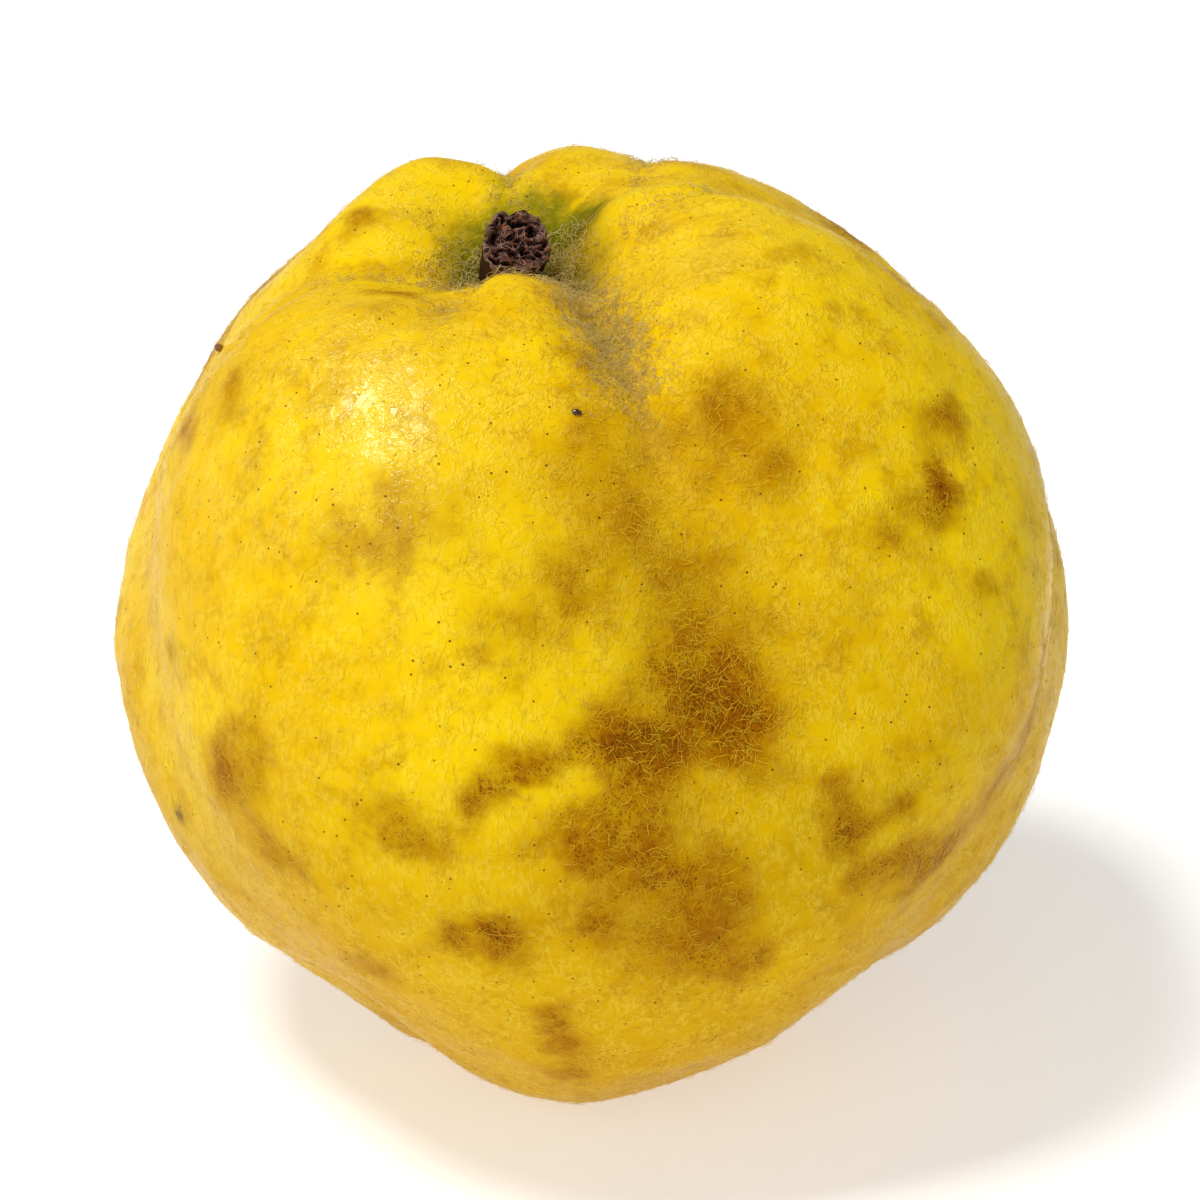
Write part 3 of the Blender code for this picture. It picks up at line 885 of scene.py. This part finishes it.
torn = np.column_stack((outline, upright + on_end * relief))
# The hole depth is painted on the end, so that the wood's finish can darken the holes as painted shade.
paint(stub, "sunk", np.clip(sunk / (0.7 * MM), 0, 1) * on_end)
paint(stub, "ridges", ridges * on_end)
paint(stub, "rim", on_end * ease(share, 0.88, 0.98))
paint(stub, "end", on_end)

line = np.array(STUB_LINE) * MM + np.array(CORE)
lengths = np.concatenate(((0,), np.cumsum(np.linalg.norm(np.diff(line, axis=0), axis=1))))


def bend(points):
    """Carry points of the straight blank to the stub's middle line."""
    at = points[:, 2] / (sum(length for length, _ in STUB_STEPS) * MM) * lengths[-1]
    middle = np.column_stack([np.interp(at, lengths, line[:, axis]) for axis in range(3)])
    ahead = np.column_stack([np.interp(at + 1.5 * MM, lengths, line[:, axis]) for axis in range(3)])
    back = np.column_stack([np.interp(at - 1.5 * MM, lengths, line[:, axis]) for axis in range(3)])
    beyond = np.maximum(at - lengths[-1], 0)[:, None]
    way = (ahead - back) / np.linalg.norm(ahead - back, axis=1, keepdims=True)
    side = np.array((1.0, 0, 0)) - way[:, :1] * way
    side /= np.linalg.norm(side, axis=1, keepdims=True)
    rise = np.cross(way, side)
    return middle + way * beyond + side * points[:, :1] + rise * points[:, 1:2]


write_points(stub, bend(torn))
stub.data.shade_smooth()
print("stub end at", [round(value / MM, 1) for value in line[-1]], "mm")

# %% Stub fibres
FIBRE_COUNT = 210
FIBRE_STOPS = 8
FIBRE_LENGTH = (0.5 * MM, 1.9 * MM)
FIBRE_THICKNESS = (0.05 * MM, 0.13 * MM)
FIBRE_SEED = 21
FIBRE_HEIGHT = 0.11 * MM

draw = np.random.default_rng(FIBRE_SEED)
end_points = np.flatnonzero(on_end > 0.9)
fibre_paths = []
for _ in range(FIBRE_COUNT):
    start = draw.uniform(0, 2 * math.pi)
    off = STUB_RADIUS * math.sqrt(draw.uniform(0.0, 0.85))
    heading = start + math.pi / 2 + draw.normal(0, 0.7)
    curl = draw.normal(0, 1.1)
    steps = draw.uniform(*FIBRE_LENGTH) / FIBRE_STOPS
    point = np.array((math.cos(start), math.sin(start))) * off
    path = []
    for _ in range(FIBRE_STOPS):
        near = end_points[np.argmin(((outline[end_points] - point) ** 2).sum(axis=1))]
        path.append((*point, torn[near, 2] + FIBRE_HEIGHT))
        point = point + steps * np.array((math.cos(heading), math.sin(heading)))
        point *= min(1.0, 0.97 * STUB_RADIUS / max(np.linalg.norm(point), 0.001 * MM))
        heading += curl / FIBRE_STOPS
    path = np.array(path)
    path[1:-1, 2] = (path[:-2, 2] + 2 * path[1:-1, 2] + path[2:, 2]) / 4
    fibre_paths.append(bend(path))
widths = tapered(draw, FIBRE_COUNT, FIBRE_STOPS, FIBRE_THICKNESS)
stub_fibres = sweep("stub_fibres", fibre_paths, widths, hair_profile)
print("fibres:", FIBRE_COUNT)

# %% Stub finish
WOOD_LOW_TONE_AND_SHADE, WOOD_RAISED = (0.014, 0.004, 0.0025), (0.28, 0.12, 0.085)
WOOD_HOLE_SHADE, WOOD_EMBER, WOOD_RIM = (0.006, 0.0015, 0.001), (0.36, 0.11, 0.02), (0.26, 0.16, 0.115)
BARK_DARK, BARK_LIGHT = (0.012, 0.003, 0.002), (0.055, 0.016, 0.009)
FIBRE_DARK, FIBRE_LIGHT = (0.09, 0.030, 0.020), (0.42, 0.24, 0.18)

r = Recipe("torn_wood")
streak = r.noise(0.5 * MM, 4.0, 0.6)
raised = r.step(r.mark("ridges") + 0.7 * (streak - 0.5), 0.25, 1.0)
# The low wood between the ridges is darker than the raised fibres, partly its own tone and partly painted
# shade.
colour = r.blend(raised, WOOD_LOW_TONE_AND_SHADE, WOOD_RAISED)
# Painted shade: the holes are coloured near black by their depth.
colour = r.blend(0.9 * r.mark("sunk"), colour, WOOD_HOLE_SHADE)
ember = r.step(r.noise(1.1 * MM, 2.0), 0.57, 0.64) * r.step(r.mark("ridges"), 0.3, 0.7)
colour = r.blend(0.8 * ember, colour, WOOD_EMBER)
colour = r.blend(0.75 * r.mark("rim") * r.step(streak, 0.35, 0.60), colour, WOOD_RIM)
bark_tone = r.blend(r.step(streak, 0.3, 0.7), BARK_DARK, BARK_LIGHT)
colour = r.blend(1 - r.mark("end"), colour, bark_tone)
stub.data.materials.append(r.finish(
    Base_Color=colour, Roughness=0.55 + 0.3 * streak, Normal=r.bump(streak, 0.12 * MM, 0.8),
    Specular_IOR_Level=0.25))
r = Recipe("stub_fibre")
colour = r.blend(r.step(r.noise(0.9 * MM, 2.0), 0.35, 0.65), FIBRE_DARK, FIBRE_LIGHT)
stub_fibres.data.materials.append(r.finish(Base_Color=colour, Roughness=0.45 + 0.2 * r.noise(0.3 * MM)))
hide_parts("stem_stub")
for piece in (stub, stub_fibres):
    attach(piece, "root")
print("stub:", triangles_of(stub), "fibres:", triangles_of(stub_fibres), "triangles")

# %% [markdown]
# ## The dried calyx
#
# Under the fruit sits the dried end of the blossom: five small brown sepals round a tuft of
# dried stamens. Copies of the solid sepals are subdivided and crumpled a little. The tuft is a
# bundle of filaments, each with a small swollen anther at its tip.

# %% Sepals
SEPAL_COUNT = 5
CRUMPLE_SIZE, CRUMPLE_HEIGHT = 1.3 * MM, 0.30 * MM
SEPAL_GAP = 0.02 * MM
SEPAL_DARK, SEPAL_LIGHT, SEPAL_PALE = (0.050, 0.022, 0.010), (0.22, 0.125, 0.060), (0.30, 0.21, 0.12)

r = Recipe("dried_sepal")
grain = r.noise(0.5 * MM, 4.0, 0.6)
colour = r.blend(r.step(grain, 0.3, 0.7), SEPAL_DARK, SEPAL_LIGHT)
colour = r.blend(0.5 * r.step(r.noise(2 * MM, 2.0), 0.45, 0.65), colour, SEPAL_PALE)
dried_sepal = r.finish(
    Base_Color=colour, Roughness=0.7 + 0.2 * grain, Normal=r.bump(r.noise(0.25 * MM), 0.10 * MM, 0.8))
for number in range(1, SEPAL_COUNT + 1):
    sepal = copy_of_node(f"sepal_{number}", f"dried_sepal_{number}")
    subdivide_smoothly(sepal, 2)
    roughen(sepal, CRUMPLE_SIZE, CRUMPLE_HEIGHT, f"sepal_crumple_{number}")
    curled = read_points(sepal)
    curled[:, 2] = np.maximum(curled[:, 2], SEPAL_GAP)
    write_points(sepal, curled)
    sepal.data.shade_smooth()
    sepal.data.materials.append(dried_sepal)
    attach(sepal, "root")
    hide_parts(f"sepal_{number}")
print("sepal:", triangles_of(sepal), "triangles each")

# %% Stamen tuft
FILAMENTS = 46
FILAMENT_STOPS = 7
FILAMENT_THICKNESS = (0.16 * MM, 0.26 * MM)
FILAMENT_SHAPE = (1, 0.8, 0.7, 0.65, 0.7, 1.6, 1.1)
FILAMENT_SEED = 5
STAMEN_DARK, STAMEN_LIGHT = (0.035, 0.016, 0.008), (0.17, 0.095, 0.045)

draw = np.random.default_rng(FILAMENT_SEED)
tuft_low, tuft_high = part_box("stamen_tuft")
tuft_top = np.array(((tuft_low.x + tuft_high.x) / 2, (tuft_low.y + tuft_high.y) / 2, tuft_high.z))
filament_paths = []
for _ in range(FILAMENTS):
    turn_of_one = draw.uniform(0, 2 * math.pi)
    off = math.sqrt(draw.uniform(0, 1))
    way = np.array((math.cos(turn_of_one), math.sin(turn_of_one), 0))
    root = tuft_top + way * off * 1.1 * MM
    tip = tuft_top + way * (off * 1.7 + draw.uniform(-0.3, 0.3)) * MM
    tip[2] = tuft_low.z + draw.uniform(0, 0.9) * MM
    shares = np.linspace(0, 1, FILAMENT_STOPS)[:, None]
    sway = np.sin(math.pi * shares) * draw.normal(0, 0.25, 3) * MM
    filament_paths.append(root + (tip - root) * shares + sway)
filament_widths = draw.uniform(*FILAMENT_THICKNESS, (FILAMENTS, 1)) * (np.array(FILAMENT_SHAPE) / 2)
tuft = sweep("dried_stamens", filament_paths, filament_widths, hair_profile)
r = Recipe("dried_stamen")
colour = r.blend(r.noise(0.8 * MM, 3.0), STAMEN_DARK, STAMEN_LIGHT)
tuft.data.materials.append(r.finish(Base_Color=colour, Roughness=0.75 + 0.1 * r.noise(0.4 * MM)))
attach(tuft, "root")
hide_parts("stamen_tuft")
print("tuft:", triangles_of(tuft), "triangles")

# %% [markdown]
# ## Small things on the skin
#
# A glossy dark speck is stuck to the front, and a small woody nub stands out on the left
# shoulder. Both are spheres that are squashed and then laid on the skin along a direction
# from the core.

# %% Speck and nub
LUMP_GRAIN, LUMP_ROUGHNESS = 0.35 * MM, 0.10 * MM
RESIN_DARK, RESIN_LIGHT = (0.020, 0.005, 0.003), (0.075, 0.016, 0.008)
NUB_DARK, NUB_LIGHT = (0.10, 0.040, 0.010), (0.32, 0.15, 0.03)

skin_surface = BVHTree.FromObject(skin, bpy.context.evaluated_depsgraph_get())


def lay_on_skin(name, azimuth, elevation, size, heading, sunk_share):
    """A squashed rounded lump laid on the skin; size is along, across and outwards."""
    bpy.ops.object.select_all(action="DESELECT")
    bpy.ops.mesh.primitive_uv_sphere_add(segments=32, ring_count=18, radius=0.5)
    lump = bpy.context.object
    lump.name = name
    spot, normal, _, _ = skin_surface.ray_cast(CORE, Vector(direction(azimuth, elevation)))
    upright = normal.to_track_quat("Z", "Y").to_matrix().to_4x4()
    turned = upright @ Matrix.Rotation(math.radians(heading), 4, "Z")
    moved = Matrix.Translation(spot + normal * size[2] * (0.5 - sunk_share))
    lump.data.transform(moved @ turned @ Matrix.Diagonal((*size, 1)))
    roughen(lump, LUMP_GRAIN, LUMP_ROUGHNESS, name)
    lump.data.shade_smooth()
    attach(lump, "root")
    return lump


speck = lay_on_skin("dark_speck", -93, 50, (0.85 * MM, 0.60 * MM, 0.45 * MM), -20, 0.25)
nub = lay_on_skin("shoulder_nub", 166, 34, (0.9 * MM, 0.7 * MM, 1.1 * MM), 40, 0.30)
r = Recipe("dark_resin")
tone = r.blend(r.noise(0.3 * MM, 2.0), RESIN_DARK, RESIN_LIGHT)
speck.data.materials.append(r.finish(Base_Color=tone, Roughness=0.18 + 0.15 * r.noise(0.2 * MM)))
r = Recipe("nub_bark")
tone = r.blend(r.noise(0.3 * MM, 3.0), NUB_DARK, NUB_LIGHT)
nub.data.materials.append(r.finish(Base_Color=tone, Roughness=0.7 + 0.1 * r.noise(0.2 * MM)))
bpy.data.objects.remove(hair_profile)
print("small things:", speck.name, nub.name)

# %% [markdown]
# ## Table and light
#
# The table is one wide pale plane that glows a little, so that it stays nearly white. The light
# is that of a small studio: a soft panel overhead and to the left, a wide weak one from the
# front, a weaker one from the right, and an even pale surround.

# %% Table
TABLE_SIZE = 6
TABLE_GLOW = 0.44
PAPER_LIGHT, PAPER_DARK = (0.86, 0.86, 0.855), (0.83, 0.83, 0.83)

bpy.ops.object.select_all(action="DESELECT")
bpy.ops.mesh.primitive_plane_add(size=TABLE_SIZE, location=(0, 0, 0))
table = bpy.context.object
table.name = "pale_table"
paper = Recipe("pale_table")
tone = paper.noise(120 * MM, 2.0)
table.data.materials.append(paper.finish(
    Base_Color=paper.blend(tone, PAPER_LIGHT, PAPER_DARK), Roughness=0.9, Specular_IOR_Level=0.1,
    Emission_Color=(1, 1, 1), Emission_Strength=TABLE_GLOW))
print("table is", TABLE_SIZE, "m wide")

# %% Lights
SURROUND_STRENGTH = 0.27


def soft_panel(name, place, size, power, colour=(1, 1, 1)):
    """A square area light that faces the fruit."""
    panel = bpy.data.lights.new(name, "AREA")
    panel.size = size
    panel.energy = power
    panel.color = colour
    holder = bpy.data.objects.new(name, panel)
    bpy.context.scene.collection.objects.link(holder)
    holder.location = place
    holder.rotation_euler = (CORE - Vector(place)).to_track_quat("-Z", "Y").to_euler()


soft_panel("overhead_left", (-0.32, -0.13, 0.92), 0.24, 6.6, (1.0, 0.99, 0.97))
soft_panel("front_fill", (-0.45, -0.95, 0.50), 0.9, 2.6)
soft_panel("right_fill", (0.95, -0.45, 0.45), 0.7, 0.7)
world = bpy.data.worlds.new("pale_surround")
world.use_nodes = True
world.node_tree.nodes["Background"].inputs["Color"].default_value = (1, 1, 1, 1)
world.node_tree.nodes["Background"].inputs["Strength"].default_value = SURROUND_STRENGTH
bpy.context.scene.world = world
print("panels:", len(bpy.data.lights))
